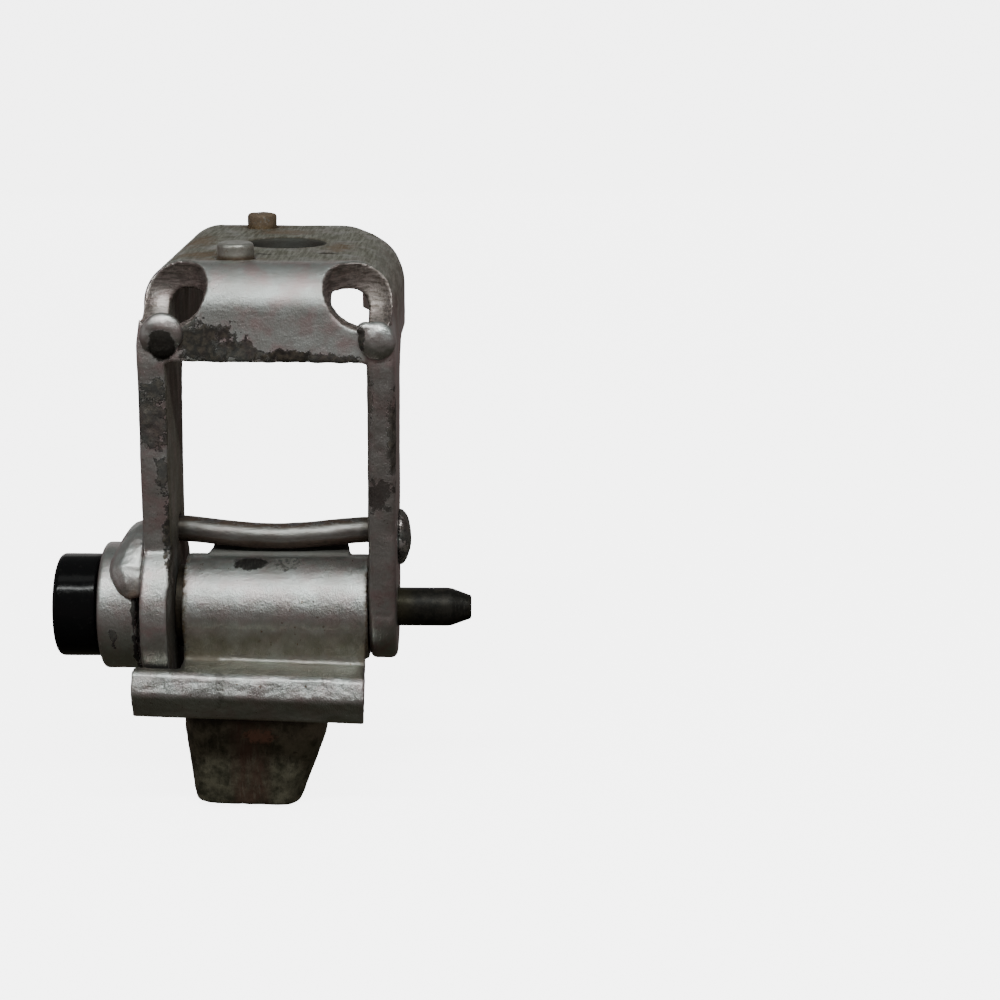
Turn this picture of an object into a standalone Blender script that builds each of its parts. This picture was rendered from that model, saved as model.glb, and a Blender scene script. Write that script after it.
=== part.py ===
"""Door hinge: a folded sheet-steel door leaf swinging on a pin in a forged body leaf.

Frame: the origin is on the seat, the underside of the base, straight below the middle of the pin.
X runs along the pin from its head (-X) to its tapered tip (+X), -Y is the front of the hinge and
+Z is up. All sizes are in metres. Each piece is drawn about the pin axis and keeps its own origin
there, so PIN_CENTRE is the place of every piece in the frame.
"""
import math

import bmesh
import bpy
from mathutils import Matrix, Vector

MM = 0.001
GAP = 0.3 * MM

PIN_CENTRE = (0.0, 0.0, 22.0 * MM)

# Door leaf: folded plate
PLATE = 5.9 * MM
HEAD_OUT_X = -28.3 * MM
TIP_OUT_X = 25.4 * MM
FRONT_Y = -11.3 * MM
BACK_Y = 60.5 * MM
TOP_Z = 75.9 * MM
SKIRT_Z = 56.0 * MM
BEND_R = 9.8 * MM
RELIEF_R = 8.8 * MM
RELIEF_IN = 5.9 * MM
RELIEF_Y = -8.5 * MM
RELIEF_Z = 71.3 * MM
HEAD_EYE_R = 18.9 * MM
TIP_EYE_R = 11.2 * MM
ARM_BACK_CURVE = ((12.3 * MM, 40 * MM), (13.4 * MM, 48 * MM), (15.4 * MM, 52.5 * MM), (19.0 * MM, 55.2 * MM))
ARM_ROOT_Y = 24.0 * MM
ARM_LAP = 7.0 * MM
TIP_SIDE_TAPER = ((0.0, 38 * MM), (1.0 * MM, 47 * MM), (3.2 * MM, 55 * MM), (5.4 * MM, BACK_Y))
BOLT_HOLE_R = 8.6 * MM
BOLT_HOLE_X = -0.6 * MM
BOLT_HOLE_Y = 28.0 * MM

# Locating pegs on the top plate
PEG_X = -8.9 * MM
PEG_FRONT_Y = 4.0 * MM
PEG_REAR_Y = 56.0 * MM
PEG_FRONT_R = 3.9 * MM
PEG_REAR_R = 3.4 * MM
PEG_HEIGHT = 3.2 * MM

# Stop rod
ROD_R = 2.8 * MM
ROD_Y = 4.1 * MM
ROD_Z = 16.3 * MM
ROD_SAG_Y = 1.9 * MM
ROD_SAG_Z = 15.3 * MM

# Pin, cap and collar
PIN_R = 4.2 * MM
PIN_TIP_X = 41.4 * MM
PIN_TAPER_X = 36.7 * MM
PIN_TIP_R = 2.7 * MM
CAP_OUT_X = -48.4 * MM
CAP_IN_X = -39.2 * MM
CAP_R = 11.2 * MM
COLLAR_OUT_X = -38.4 * MM
COLLAR_IN_X = -29.9 * MM
COLLAR_R = 13.8 * MM

# Collar weld stations: degrees forward of the top, mm out from the arm, mm from the axis, bead radius in mm
BEAD_STATIONS = ((-48, 0.4, 13.4, 2.6), (-22, 0.5, 14.2, 3.8), (0, 0.6, 14.5, 4.4), (20, 1.2, 13.6, 4.9),
                 (42, 2.4, 11.9, 5.5), (55, 1.8, 11.8, 4.7), (67, 1.0, 12.0, 3.0))

# Body leaf: forged knuckle and foot
BARREL_R = 11.4 * MM
BARREL_HEAD_X = -20.4 * MM
BARREL_TIP_X = 19.2 * MM
BORE_R = 6.4 * MM
WEB_Y = -11.3 * MM
WEB_STEP = 0.1 * MM
FILLET_R = 0.8 * MM
LEDGE_TOP_Z = -9.3 * MM
LEDGE_FRONT_Y = -20.2 * MM
NOSE_Y = -22.4 * MM
NOSE_HIGH_Z = -13.5 * MM
NOSE_LOW_Z = -14.2 * MM
NOSE_HEAD_X = -29.7 * MM
BASE_BACK_Y = 12.0 * MM
BASE_BOTTOM_Z = -22.0 * MM
BASE_TILT = math.radians(1.7)
BASE_TIP_X = 19.6 * MM
BASE_END_DRAFT = 0.06
BUSH_LENGTH = 14.0 * MM
WASHER_R = 9.0 * MM

# Stop lug on top of the barrel: (mm from the pin axis, degrees behind the top) around its side view
LUG_FACE = 24.2
LUG_POINTS = ((9.0, 0), (12.1, 2), (12.2, 13), (13.0, LUG_FACE), (16.6, LUG_FACE), (16.9, LUG_FACE + 4),
              (16.4, 40), (9.0, 52))
LUG_HALF_LENGTH = 15.8 * MM
LUG_END_SLOPE = 0.25

# Foot under the base
FOOT_TOP_HALF = (15.4 * MM, 8.5 * MM)
FOOT_END_HALF = (11.5 * MM, 6.6 * MM)
FOOT_CORNER_R = 6.0 * MM
FOOT_X = -5.05 * MM
FOOT_Y = -2.5 * MM
FOOT_LEAN = -1.4 * MM
FOOT_SHOULDER = 5.0 * MM
FOOT_LENGTH = 21.1 * MM
FOOT_EDGE = 0.7 * MM

# Drops of weld metal: half sizes, and centres as (X, Z) on the front face
HEAD_CORNER_WELD = (-23.2 * MM, 62.0 * MM)
HEAD_CORNER_RADII = (5.0 * MM, 2.4 * MM, 4.6 * MM)
TIP_CORNER_WELD = (21.8 * MM, 60.9 * MM)
TIP_CORNER_RADII = (4.4 * MM, 2.4 * MM, 4.3 * MM)
CORNER_WELD_SINK = 0.6 * MM
ROD_WELD_RADII = (2.4 * MM, 6.0 * MM, 6.0 * MM)
ROD_WELD_DROP = 1.6 * MM

ROUND_STEPS = 64


def clear_scene():
    for item in list(bpy.data.objects):
        bpy.data.objects.remove(item, do_unlink=True)


def new_collection(name):
    group = bpy.data.collections.new(name)
    bpy.context.scene.collection.children.link(group)
    return group


def paint(name, colour, metallic, roughness):
    """One Principled material for one piece."""
    material = bpy.data.materials.new(name)
    material.use_nodes = True
    shader = material.node_tree.nodes["Principled BSDF"]
    shader.inputs["Base Color"].default_value = (*colour, 1.0)
    shader.inputs["Metallic"].default_value = metallic
    shader.inputs["Roughness"].default_value = roughness
    return material


def add_piece(name, mesh, group):
    item = bpy.data.objects.new(name, mesh)
    group.objects.link(item)
    return item


def outline_mesh(name, outline, low, high):
    """Flat outline in XY filled and thickened from low to high along Z."""
    curve = bpy.data.curves.new(name + "_outline", "CURVE")
    curve.dimensions = "2D"
    curve.fill_mode = "BOTH"
    curve.extrude = (high - low) / 2
    spline = curve.splines.new("POLY")
    spline.points.add(len(outline) - 1)
    for point, (first, second) in zip(spline.points, outline):
        point.co = (first, second, 0.0, 1.0)
    spline.use_cyclic_u = True
    holder = bpy.data.objects.new(name + "_outline", curve)
    bpy.context.scene.collection.objects.link(holder)
    graph = bpy.context.evaluated_depsgraph_get()
    mesh = bpy.data.meshes.new_from_object(holder.evaluated_get(graph))
    bpy.data.objects.remove(holder, do_unlink=True)
    bpy.data.curves.remove(curve)
    mesh.name = name
    shape = bmesh.new()
    shape.from_mesh(mesh)
    bmesh.ops.remove_doubles(shape, verts=shape.verts, dist=0.00001)
    bmesh.ops.translate(shape, verts=shape.verts, vec=(0, 0, (high + low) / 2))
    bmesh.ops.dissolve_limit(shape, angle_limit=0.01, verts=shape.verts, edges=shape.edges)
    bmesh.ops.recalc_face_normals(shape, faces=shape.faces)
    shape.to_mesh(mesh)
    shape.free()
    return mesh


def side_plate_mesh(name, outline, low_x, high_x):
    """Outline given as (Y, Z) pairs, thickened along X."""
    mesh = outline_mesh(name, outline, low_x, high_x)
    stand_up = Matrix(((0, 0, 1), (1, 0, 0), (0, 1, 0))).to_4x4()
    mesh.transform(stand_up)
    return mesh


def rod_mesh(name, radius, low, high, axis, centre=(0, 0, 0)):
    """Plain round bar or drill along one axis, from low to high."""
    shape = bmesh.new()
    bmesh.ops.create_cone(shape, cap_ends=True, segments=ROUND_STEPS, radius1=radius,
                          radius2=radius, depth=high - low)
    bmesh.ops.translate(shape, verts=shape.verts, vec=(0, 0, (high + low) / 2))
    if axis == "X":
        bmesh.ops.rotate(shape, verts=shape.verts, matrix=Matrix.Rotation(math.pi / 2, 3, "Y"))
    bmesh.ops.translate(shape, verts=shape.verts, vec=centre)
    mesh = bpy.data.meshes.new(name)
    shape.to_mesh(mesh)
    shape.free()
    return mesh


def ball_mesh(name, radii, centre, steps=40):
    shape = bmesh.new()
    bmesh.ops.create_uvsphere(shape, u_segments=steps, v_segments=steps // 2, radius=1.0)
    bmesh.ops.scale(shape, verts=shape.verts, vec=radii)
    bmesh.ops.translate(shape, verts=shape.verts, vec=centre)
    mesh = bpy.data.meshes.new(name)
    shape.to_mesh(mesh)
    shape.free()
    return mesh


def turned_piece(name, profile, group, closed):
    """Lathe-turned piece about the X axis from (x, radius) pairs run from +X to -X outside."""
    mesh = bpy.data.meshes.new(name)
    points = [(radius, 0.0, along) for along, radius in profile]
    edges = [(index, index + 1) for index in range(len(points) - 1)]
    if closed:
        edges.append((len(points) - 1, 0))
    mesh.from_pydata(points, edges, [])
    item = add_piece(name, mesh, group)
    screw = item.modifiers.new("Turn", "SCREW")
    screw.axis = "Z"
    screw.steps = ROUND_STEPS
    screw.render_steps = ROUND_STEPS
    screw.use_merge_vertices = True
    screw.merge_threshold = 0.00001
    screw.use_smooth_shade = True
    item.rotation_euler = (0, math.pi / 2, 0)
    return item


def cut_or_join(item, tool, operation):
    step = item.modifiers.new(operation.title(), "BOOLEAN")
    step.operation = operation
    step.solver = "EXACT"
    step.object = tool
    tool.hide_render = True
    tool.display_type = "WIRE"


def apply_modifiers(item):
    graph = bpy.context.evaluated_depsgraph_get()
    mesh = bpy.data.meshes.new_from_object(item.evaluated_get(graph))
    item.modifiers.clear()
    item.data = mesh


def round_edges(item, width, angle=40, segments=2):
    bevel = item.modifiers.new("Edge", "BEVEL")
    bevel.width = width
    bevel.segments = segments
    bevel.limit_method = "ANGLE"
    bevel.angle_limit = math.radians(angle)


def shade(item, angle=35):
    for face in item.data.polygons:
        face.use_smooth = True
    item.data.set_sharp_from_angle(angle=math.radians(angle))


def arc(radius, start, stop, count, centre=(0.0, 0.0)):
    """Points on a circle, angles in degrees from +first axis toward +second axis."""
    points = []
    for index in range(count + 1):
        turn = math.radians(start + (stop - start) * index / count)
        points.append((centre[0] + radius * math.cos(turn), centre[1] + radius * math.sin(turn)))
    return points


def rounded_box_outline(half_x, half_y, radius, count=8):
    points = []
    for quarter, (sign_x, sign_y) in enumerate(((1, 1), (-1, 1), (-1, -1), (1, -1))):
        centre = (sign_x * (half_x - radius), sign_y * (half_y - radius))
        points += arc(radius, 90 * quarter, 90 * quarter + 90, count, centre)
    return points


def folded_block(name, inset, back_y, low_z, group):
    """Solid with the plan and rolled top edges of the folded plate, inset by the plate thickness."""
    outline = [(HEAD_OUT_X + inset, FRONT_Y + inset), (TIP_OUT_X - inset, FRONT_Y + inset)]
    outline += [(TIP_OUT_X - step - inset, y) for step, y in TIP_SIDE_TAPER]
    if back_y > BACK_Y:
        outline.append((outline[-1][0], back_y))
    outline.append((HEAD_OUT_X + inset, back_y))
    top = TOP_Z - inset
    mesh = outline_mesh(name, outline, low_z, top)
    shape = bmesh.new()
    shape.from_mesh(mesh)
    rolled = []
    for edge in shape.edges:
        ends = [corner.co for corner in edge.verts]
        on_top = all(abs(end.z - top) < 0.01 * MM for end in ends)
        on_back = all(abs(end.y - back_y) < 0.01 * MM for end in ends)
        if on_top and not on_back:
            rolled.append(edge)
    bmesh.ops.bevel(shape, geom=rolled, offset=BEND_R - inset, offset_type="OFFSET", segments=9,
                    profile=0.5, affect="EDGES")
    shape.to_mesh(mesh)
    shape.free()
    return add_piece(name, mesh, group)


def arm_outline(eye_radius):
    """Side view (Y, Z) of one arm, from the folded skirt down to the rounded eye."""
    half = abs(FRONT_Y)
    if eye_radius > half:
        start = math.degrees(math.asin(half / eye_radius))
        lower = arc(eye_radius, 90 - start, 90 + start - 360, 40)
    else:
        lower = arc(eye_radius, 0, -180, 30)
    back = [(half + 0.3 * MM, 27 * MM)] + list(ARM_BACK_CURVE) + [(ARM_ROOT_Y, SKIRT_Z)]
    upper = [(ARM_ROOT_Y, SKIRT_Z + ARM_LAP), (FRONT_Y, SKIRT_Z + ARM_LAP)]
    return upper + lower[::-1] + back


def build_bracket(parts, cutters):
    bracket = folded_block("door_bracket", 0.0, BACK_Y, SKIRT_Z, parts)
    hollow = folded_block("bracket_hollow", PLATE, BACK_Y + 20 * MM, SKIRT_Z - 8 * MM, cutters)
    cut_or_join(bracket, hollow, "DIFFERENCE")
    sides = (("arm_head", HEAD_EYE_R, HEAD_OUT_X, HEAD_OUT_X + PLATE),
             ("arm_tip", TIP_EYE_R, TIP_OUT_X - PLATE, TIP_OUT_X))
    for name, eye_radius, low_x, high_x in sides:
        arm = add_piece(name, side_plate_mesh(name, arm_outline(eye_radius), low_x, high_x), cutters)
        cut_or_join(bracket, arm, "UNION")
    for name, x in (("relief_head", HEAD_OUT_X + RELIEF_IN), ("relief_tip", TIP_OUT_X - RELIEF_IN)):
        ball = ball_mesh(name, (RELIEF_R,) * 3, (x, RELIEF_Y, RELIEF_Z), 48)
        cut_or_join(bracket, add_piece(name, ball, cutters), "DIFFERENCE")
    holes = (("bolt_hole", BOLT_HOLE_R, (BOLT_HOLE_X, BOLT_HOLE_Y)),
             ("peg_hole_front", PEG_FRONT_R + GAP, (PEG_X, PEG_FRONT_Y)),
             ("peg_hole_rear", PEG_REAR_R + GAP, (PEG_X, PEG_REAR_Y)))
    for name, radius, (x, y) in holes:
        drill = rod_mesh(name, radius, TOP_Z - 12 * MM, TOP_Z + 6 * MM, "Z", (x, y, 0))
        cut_or_join(bracket, add_piece(name, drill, cutters), "DIFFERENCE")
    pin_hole = rod_mesh("pin_hole", PIN_R + GAP, HEAD_OUT_X - 3 * MM, TIP_OUT_X + 3 * MM, "X")
    cut_or_join(bracket, add_piece("pin_hole", pin_hole, cutters), "DIFFERENCE")
    rod_hole = rod_mesh("rod_hole", ROD_R + GAP, HEAD_OUT_X - 3 * MM, TIP_OUT_X + 3 * MM, "X",
                        (0, ROD_Y, ROD_Z))
    cut_or_join(bracket, add_piece("rod_hole", rod_hole, cutters), "DIFFERENCE")
    return bracket


def build_peg(name, parts, y, radius):
    """Locating peg pressed through the top plate, its free end slightly domed."""
    low = TOP_Z - PLATE + 0.2 * MM
    mesh = rod_mesh(name, radius, low, TOP_Z + PEG_HEIGHT, "Z", (PEG_X, y, 0))
    peg = add_piece(name, mesh, parts)
    round_edges(peg, 0.7 * MM)
    return peg


def build_stop_rod(parts):
    """Bent bar through both arms that comes to rest on the stop lug."""
    curve = bpy.data.curves.new("stop_rod", "CURVE")
    curve.dimensions = "3D"
    curve.bevel_depth = ROD_R
    curve.bevel_resolution = 6
    curve.use_fill_caps = True
    inner_head = HEAD_OUT_X + PLATE
    inner_tip = TIP_OUT_X - PLATE
    path = [(HEAD_OUT_X, 0.0), (inner_head, 0.0)]
    stations = 12
    for index in range(1, stations):
        share = index / stations
        path.append((inner_head + share * (inner_tip - inner_head), math.sin(math.pi * share) ** 1.5))
    path += [(inner_tip, 0.0), (TIP_OUT_X, 0.0)]
    spline = curve.splines.new("POLY")
    spline.points.add(len(path) - 1)
    for point, (x, bend) in zip(spline.points, path):
        y = ROD_Y + (ROD_SAG_Y - ROD_Y) * bend
        z = ROD_Z + (ROD_SAG_Z - ROD_Z) * bend
        point.co = (x, y, z, 1.0)
    holder = bpy.data.objects.new("stop_rod_path", curve)
    bpy.context.scene.collection.objects.link(holder)
    graph = bpy.context.evaluated_depsgraph_get()
    mesh = bpy.data.meshes.new_from_object(holder.evaluated_get(graph))
    bpy.data.objects.remove(holder, do_unlink=True)
    bpy.data.curves.remove(curve)
    shape = bmesh.new()
    shape.from_mesh(mesh)
    bmesh.ops.remove_doubles(shape, verts=shape.verts, dist=0.00001)
    bmesh.ops.recalc_face_normals(shape, faces=shape.faces)
    shape.to_mesh(mesh)
    shape.free()
    mesh.name = "stop_rod"
    return add_piece("stop_rod", mesh, parts)


def build_weld(name, parts, cutters, radii, centre, keep):
    """Half-buried drop of weld metal, trimmed to the free side of a flat plate face."""
    weld = add_piece(name, ball_mesh(name, radii, centre, 28), parts)
    shape = bmesh.new()
    bmesh.ops.create_cube(shape, size=1.0)
    reach = 160 * MM
    bmesh.ops.scale(shape, verts=shape.verts, vec=(reach, reach, reach))
    plane_point, outward = keep
    bmesh.ops.translate(shape, verts=shape.verts, vec=Vector(plane_point) - Vector(outward) * reach / 2)
    mesh = bpy.data.meshes.new(name + "_trim")
    shape.to_mesh(mesh)
    shape.free()
    cut_or_join(weld, add_piece(name + "_trim", mesh, cutters), "DIFFERENCE")
    return weld


def build_collar_weld(parts, cutters):
    """Thick weld bead between the collar and the outer face of the arm, over the top and front."""
    curve = bpy.data.curves.new("collar_weld", "CURVE")
    curve.dimensions = "3D"
    curve.bevel_depth = 1.0
    curve.bevel_resolution = 5
    curve.use_fill_caps = True
    curve.resolution_u = 5
    spline = curve.splines.new("BEZIER")
    spline.bezier_points.add(len(BEAD_STATIONS) - 1)
    for point, (degrees, offset, distance, radius) in zip(spline.bezier_points, BEAD_STATIONS):
        turn = math.radians(degrees)
        reach = distance * MM
        point.co = (HEAD_OUT_X - offset * MM, -reach * math.sin(turn), reach * math.cos(turn))
        point.handle_left_type = "AUTO"
        point.handle_right_type = "AUTO"
        point.radius = radius * MM
    holder = bpy.data.objects.new("collar_weld_path", curve)
    bpy.context.scene.collection.objects.link(holder)
    graph = bpy.context.evaluated_depsgraph_get()
    mesh = bpy.data.meshes.new_from_object(holder.evaluated_get(graph))
    bpy.data.objects.remove(holder, do_unlink=True)
    bpy.data.curves.remove(curve)
    shape = bmesh.new()
    shape.from_mesh(mesh)
    bmesh.ops.remove_doubles(shape, verts=shape.verts, dist=0.00001)
    bmesh.ops.recalc_face_normals(shape, faces=shape.faces)
    shape.to_mesh(mesh)
    shape.free()
    weld = add_piece("collar_weld", mesh, parts)
    around = rod_mesh("collar_room", COLLAR_R + GAP, -60 * MM, 0.0, "X")
    cut_or_join(weld, add_piece("collar_room", around, cutters), "DIFFERENCE")
    plate = rod_mesh("arm_room", 60 * MM, HEAD_OUT_X - GAP, 20 * MM, "X")
    cut_or_join(weld, add_piece("arm_room", plate, cutters), "DIFFERENCE")
    return weld


def build_knuckle(parts, cutters):
    """Forged body leaf: barrel, web, base with its pointed nose, and stop lug."""
    barrel = rod_mesh("knuckle", BARREL_R, BARREL_HEAD_X, BARREL_TIP_X, "X")
    knuckle = add_piece("knuckle", barrel, parts)
    front = [(LEDGE_FRONT_Y, LEDGE_TOP_Z), (LEDGE_FRONT_Y - 0.9 * MM, LEDGE_TOP_Z - 0.6 * MM),
             (NOSE_Y, NOSE_HIGH_Z), (NOSE_Y, NOSE_LOW_Z), (-19.6 * MM, BASE_BOTTOM_Z + 2.4 * MM),
             (-13.0 * MM, BASE_BOTTOM_Z)]
    back = [(BASE_BACK_Y - 1.0 * MM, BASE_BOTTOM_Z), (BASE_BACK_Y, BASE_BOTTOM_Z + 1.0 * MM),
            (BASE_BACK_Y, -11.0 * MM), (9.5 * MM, -5.0 * MM)]
    # the front of the web drops straight out of the barrel into the fillet on the ledge
    web = [(0.0, 0.0), (WEB_Y, -1.0 * MM)]
    web += arc(FILLET_R, 0, -90, 8, (WEB_Y - FILLET_R, LEDGE_TOP_Z + FILLET_R))
    base_mesh = side_plate_mesh("base", web + front + back, NOSE_HEAD_X, BASE_TIP_X)
    for corner in base_mesh.vertices:
        if corner.co.x > 0:
            corner.co.x -= BASE_END_DRAFT * (corner.co.y - NOSE_Y)
    base_mesh.transform(Matrix.Rotation(BASE_TILT, 4, "Y"))
    base = add_piece("base", base_mesh, cutters)
    # beyond the barrel only the nose is left, below the round room for the eye of the arm
    room = rod_mesh("eye_room", HEAD_EYE_R + 2 * GAP, -50 * MM, BARREL_HEAD_X + WEB_STEP, "X")
    cut_or_join(base, add_piece("eye_room", room, cutters), "DIFFERENCE")
    apply_modifiers(base)
    cut_or_join(knuckle, base, "UNION")
    lug_outline = []
    for distance, turn in LUG_POINTS:
        angle = math.radians(turn)
        lug_outline.append((distance * MM * math.sin(angle), distance * MM * math.cos(angle)))
    middle = (BARREL_HEAD_X + BARREL_TIP_X) / 2
    lug_mesh = side_plate_mesh("lug", lug_outline, middle - LUG_HALF_LENGTH, middle + LUG_HALF_LENGTH)
    for corner in lug_mesh.vertices:
        height = max(0.0, math.hypot(corner.co.y, corner.co.z) - 10 * MM)
        corner.co.x -= math.copysign(height * LUG_END_SLOPE, corner.co.x - middle)
    cut_or_join(knuckle, add_piece("lug", lug_mesh, cutters), "UNION")
    bore = rod_mesh("bore", BORE_R, BARREL_HEAD_X - 4 * MM, BARREL_TIP_X + 4 * MM, "X")
    cut_or_join(knuckle, add_piece("bore", bore, cutters), "DIFFERENCE")
    return knuckle


def build_foot(parts):
    """Bare tapered spigot under the base, with a short straight shoulder."""
    half_x, half_y = FOOT_TOP_HALF
    low = BASE_BOTTOM_Z - GAP - FOOT_LENGTH
    high = BASE_BOTTOM_Z - GAP
    mesh = outline_mesh("foot", rounded_box_outline(half_x, half_y, FOOT_CORNER_R), low, high)
    shape = bmesh.new()
    shape.from_mesh(mesh)
    bmesh.ops.bisect_plane(shape, geom=shape.verts[:] + shape.edges[:] + shape.faces[:],
                           plane_co=(0, 0, high - FOOT_SHOULDER), plane_no=(0, 0, 1))
    for corner in shape.verts:
        if corner.co.z < high - FOOT_SHOULDER - 0.1 * MM:
            corner.co.x = corner.co.x * FOOT_END_HALF[0] / half_x + FOOT_LEAN
            corner.co.y = corner.co.y * FOOT_END_HALF[1] / half_y
    bmesh.ops.translate(shape, verts=shape.verts, vec=(FOOT_X, FOOT_Y, 0))
    shape.to_mesh(mesh)
    shape.free()
    mesh.transform(Matrix.Rotation(BASE_TILT, 4, "Y"))
    foot = add_piece("foot", mesh, parts)
    round_edges(foot, FOOT_EDGE, 50)
    return foot


def build_turned(parts):
    """Pin, cap, collar, bushes and thrust washer, all turned about the pin axis."""
    turned_piece("pivot_pin", [
        (PIN_TIP_X, 0.0), (PIN_TIP_X, PIN_TIP_R - 0.5 * MM), (PIN_TIP_X - 0.5 * MM, PIN_TIP_R),
        (PIN_TAPER_X, PIN_R), (COLLAR_OUT_X - 0.5 * MM, PIN_R), (COLLAR_OUT_X - 0.5 * MM, 7.0 * MM),
        (CAP_OUT_X + 2.6 * MM, 7.0 * MM), (CAP_OUT_X + 2.2 * MM, 6.6 * MM), (CAP_OUT_X + 2.2 * MM, 0.0)],
        parts, False)
    turned_piece("pin_cap", [
        (CAP_IN_X, 7.3 * MM), (CAP_IN_X, CAP_R - 0.5 * MM), (CAP_IN_X - 0.5 * MM, CAP_R),
        (CAP_OUT_X + 1.8 * MM, CAP_R), (CAP_OUT_X + 0.9 * MM, CAP_R - 0.3 * MM),
        (CAP_OUT_X + 0.3 * MM, CAP_R - 0.9 * MM), (CAP_OUT_X, CAP_R - 1.9 * MM), (CAP_OUT_X, 0.0),
        (CAP_OUT_X + 1.9 * MM, 0.0), (CAP_OUT_X + 1.9 * MM, 7.3 * MM)], parts, True)
    turned_piece("pin_collar", [
        (COLLAR_IN_X, PIN_R + GAP), (COLLAR_IN_X, COLLAR_R - 0.4 * MM), (COLLAR_IN_X - 0.4 * MM, COLLAR_R),
        (COLLAR_OUT_X + 1.6 * MM, COLLAR_R), (COLLAR_OUT_X + 0.5 * MM, COLLAR_R - 0.4 * MM),
        (COLLAR_OUT_X, COLLAR_R - 1.6 * MM), (COLLAR_OUT_X, PIN_R + GAP)], parts, True)
    bushes = (("bush_head_side", BARREL_HEAD_X + 0.2 * MM, BARREL_HEAD_X + BUSH_LENGTH),
              ("bush_tip_side", BARREL_TIP_X - BUSH_LENGTH, BARREL_TIP_X - 0.2 * MM))
    for name, low, high in bushes:
        section = [(high, PIN_R + GAP), (high, BORE_R - GAP), (low, BORE_R - GAP), (low, PIN_R + GAP)]
        turned_piece(name, section, parts, True)
    low = HEAD_OUT_X + PLATE + GAP
    high = BARREL_HEAD_X - GAP
    section = [(high, PIN_R + GAP), (high, WASHER_R), (low, WASHER_R), (low, PIN_R + GAP)]
    turned_piece("thrust_washer", section, parts, True)


def main():
    clear_scene()
    parts = new_collection("door_hinge")
    cutters = new_collection("cutters")
    silver = ((0.55, 0.56, 0.54), 0.75, 0.42)
    black = ((0.02, 0.02, 0.022), 0.2, 0.35)
    bronze = ((0.35, 0.25, 0.1), 0.8, 0.4)
    looks = {"pivot_pin": black, "pin_cap": ((0.01, 0.01, 0.011), 0.0, 0.16),
             "foot": ((0.10, 0.095, 0.07), 0.6, 0.6), "bush_head_side": bronze,
             "bush_tip_side": bronze, "thrust_washer": black}
    build_bracket(parts, cutters)
    build_peg("peg_front", parts, PEG_FRONT_Y, PEG_FRONT_R)
    build_peg("peg_rear", parts, PEG_REAR_Y, PEG_REAR_R)
    build_stop_rod(parts)
    front_side = ((0, FRONT_Y - GAP, 0), (0, -1, 0))
    corners = (("corner_weld_head_side", HEAD_CORNER_WELD, HEAD_CORNER_RADII),
               ("corner_weld_tip_side", TIP_CORNER_WELD, TIP_CORNER_RADII))
    for name, (x, z), radii in corners:
        build_weld(name, parts, cutters, radii, (x, FRONT_Y + CORNER_WELD_SINK, z), front_side)
    tip_side = ((TIP_OUT_X + GAP, 0, 0), (1, 0, 0))
    rod_end = (TIP_OUT_X, ROD_Y, ROD_Z - ROD_WELD_DROP)
    build_weld("rod_weld_tip_side", parts, cutters, ROD_WELD_RADII, rod_end, tip_side)
    build_collar_weld(parts, cutters)
    build_knuckle(parts, cutters)
    build_foot(parts)
    build_turned(parts)
    for item in list(parts.objects):
        colour, metallic, roughness = looks.get(item.name, silver)
        material = paint(item.name + "_finish", colour, metallic, roughness)
        turned = any(step.type == "SCREW" for step in item.modifiers)
        if not turned:
            shade(item)
        item.data.materials.clear()
        item.data.materials.append(material)
    for item in list(parts.objects) + list(cutters.objects):
        item.location = PIN_CENTRE


main()
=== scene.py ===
import itertools
import math

import bmesh
import bpy
import numpy as np
from mathutils import Matrix, Vector


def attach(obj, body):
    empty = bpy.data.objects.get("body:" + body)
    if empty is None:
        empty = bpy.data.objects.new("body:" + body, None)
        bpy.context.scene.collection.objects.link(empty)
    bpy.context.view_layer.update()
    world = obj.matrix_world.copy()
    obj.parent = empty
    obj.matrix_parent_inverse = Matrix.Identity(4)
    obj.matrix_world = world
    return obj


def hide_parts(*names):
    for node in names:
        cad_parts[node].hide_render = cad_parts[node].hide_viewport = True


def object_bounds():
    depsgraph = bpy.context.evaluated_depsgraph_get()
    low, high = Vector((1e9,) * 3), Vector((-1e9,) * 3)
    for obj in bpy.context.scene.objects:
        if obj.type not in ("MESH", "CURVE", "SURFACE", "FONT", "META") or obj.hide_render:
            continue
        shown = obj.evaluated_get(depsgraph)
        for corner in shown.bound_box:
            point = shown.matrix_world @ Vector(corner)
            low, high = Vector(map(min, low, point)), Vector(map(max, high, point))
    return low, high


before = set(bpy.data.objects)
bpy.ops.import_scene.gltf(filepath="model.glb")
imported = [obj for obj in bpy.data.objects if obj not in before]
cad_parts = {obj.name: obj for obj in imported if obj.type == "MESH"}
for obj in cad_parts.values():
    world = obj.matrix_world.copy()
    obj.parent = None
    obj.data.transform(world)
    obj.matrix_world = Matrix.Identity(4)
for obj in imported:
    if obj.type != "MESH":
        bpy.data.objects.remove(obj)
box_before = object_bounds()

# Sizes and places are millimetres in the frame of the CAD, and MM turns them into metres.
MM = 0.001
PIN_Z = 22.0
PLATE = 5.9
HEAD_OUT_X = -28.3
TIP_OUT_X = 25.4
FRONT_Y = -11.3
MIDDLE_X = -1.4
TOP_Z = PIN_Z + 75.9
HEAD_EYE_R = 18.9
TIP_EYE_R = 11.2
BEND_R = 9.8
RELIEF_R = 8.8
RELIEF_HEAD = (-22.4, -8.5, PIN_Z + 71.3)
RELIEF_TIP = (19.5, -8.5, PIN_Z + 71.3)
BARREL_R = 11.4
BOLT_HOLE = (-0.6, 28.0)
BOLT_HOLE_R = 8.6
BARREL_X = (-20.4, 19.2)
PIN_R = 4.2
CAP_R = 11.2
COLLAR_R = 13.8
ROD_R = 2.8
BURN = (-22.8, -12.6, 81.6)
LATHE_STEPS = 192
FLOOR_GLOW = 5.0
BACKDROP_GLOW = 5.5


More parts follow.
